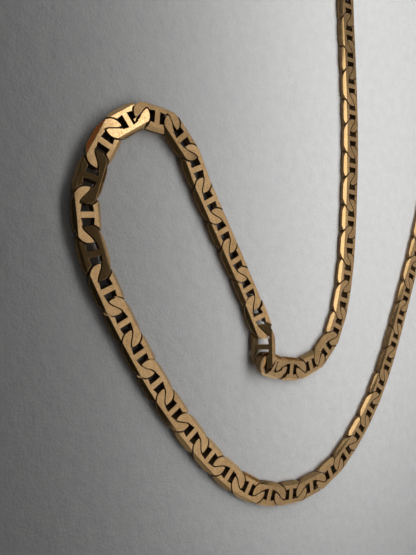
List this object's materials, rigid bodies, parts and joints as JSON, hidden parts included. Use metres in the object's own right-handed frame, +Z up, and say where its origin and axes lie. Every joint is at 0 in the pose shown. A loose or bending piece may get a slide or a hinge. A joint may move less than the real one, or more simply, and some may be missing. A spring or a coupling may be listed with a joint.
{
  "type": "mariner link chain",
  "caption": "Flat mariner link neck chain, a closed loop of interlocked oval links with a cross bar each, lying in a loose fold and closed by a plain clasp.",
  "frame": {"origin": "middle of the chain's outline in plan, on the surface that the chain lies on", "axes": "+Z up from the surface, +X along the length of the laid loop from the clasp end to the folded end, +Y across the loop towards the clasp side"},
  "size_m": [0.1617, 0.1061, 0.0055],
  "materials": {
    "links": "polished gold tone with fine rubbing marks on the flats and bright cut edges",
    "rings": "polished gold tone wire",
    "clasp": "polished gold tone"
  },
  "bodies": {
    "root": {"front_links": "links", "back_links": "links", "hook_ring": "rings", "eye_ring": "rings", "clasp": "clasp"}
  },
  "joints": []
}
